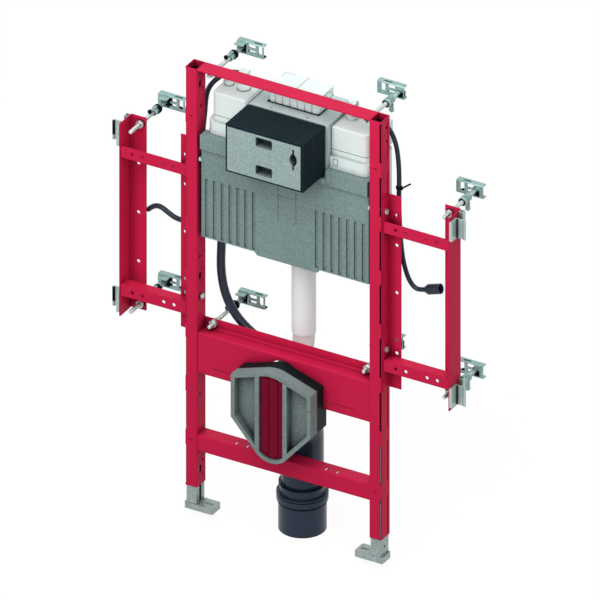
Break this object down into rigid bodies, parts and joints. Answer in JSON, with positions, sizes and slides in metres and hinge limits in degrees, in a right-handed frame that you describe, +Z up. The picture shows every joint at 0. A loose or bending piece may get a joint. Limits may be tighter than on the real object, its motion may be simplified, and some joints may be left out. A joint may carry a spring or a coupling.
{
  "type": "wall-hung toilet installation frame",
  "caption": "Steel installation frame for a wall-hung pan with concealed cistern, wall rods, telescopic legs and side frames for support handles.",
  "frame": {"origin": "on the wall face of the upper flange of the left top wall bracket, at mid length of the flange", "axes": "+X along the wall to the right, +Y into the wall, +Z up"},
  "size_m": [0.8996, 0.265, 1.1439],
  "materials": {
    "red_paint": "satin",
    "zinc_plate": "satin",
    "aluminium": "satin",
    "grey_foam": "matt",
    "white_plastic": "satin",
    "dark_red_plastic": "matt",
    "black_plastic": "matt",
    "slate_plastic": "satin"
  },
  "bodies": {
    "frame": {"cistern_insulation": "grey_foam", "cistern_tank": "white_plastic", "connection_cover": "grey_foam", "connection_plate": "black_plastic", "cover_band": "dark_red_plastic", "drain_bend": "slate_plastic", "drain_socket": "slate_plastic", "flush_pipe": "slate_plastic", "flush_sleeve": "white_plastic", "frame_wall_rods": "zinc_plate", "inlet_housing": "white_plastic", "inlet_valve": "white_plastic", "left_clips": "aluminium", "left_conduit": "slate_plastic", "left_inner_angle": "red_paint", "left_lower_rail": "red_paint", "left_outer_angle": "red_paint", "left_pan_wall_bracket": "zinc_plate", "left_post": "red_paint", "left_side_lower_wall_bracket": "zinc_plate", "left_side_upper_wall_bracket": "zinc_plate", "left_top_wall_bracket": "zinc_plate", "left_upper_rail": "red_paint", "lower_conduit": "slate_plastic", "lower_crossbar": "red_paint", "pan_crossbar": "red_paint", "right_clips": "aluminium", "right_conduit": "slate_plastic", "right_conduit_cuff": "slate_plastic", "right_inner_angle": "red_paint", "right_lower_rail": "red_paint", "right_outer_angle": "red_paint", "right_pan_wall_bracket": "zinc_plate", "right_post": "red_paint", "right_side_lower_wall_bracket": "zinc_plate", "right_side_upper_wall_bracket": "zinc_plate", "right_top_wall_bracket": "zinc_plate", "right_upper_rail": "red_paint", "service_cover": "grey_foam", "service_sleeve": "black_plastic", "shaft_frame": "white_plastic", "side_frame_bolts": "zinc_plate", "side_frame_wall_rods": "zinc_plate", "top_crossbar": "red_paint"},
    "left_foot": {"left_leg": "zinc_plate"},
    "right_foot": {"right_leg": "zinc_plate"}
  },
  "joints": [
    {"name": "left_leg_slide", "type": "slide", "parent": "frame", "child": "left_foot", "axis": [0, 0, 1], "range_m": [-0.16, 0.039]},
    {"name": "right_leg_slide", "type": "slide", "parent": "frame", "child": "right_foot", "axis": [0, 0, 1], "range_m": [-0.16, 0.039]}
  ]
}
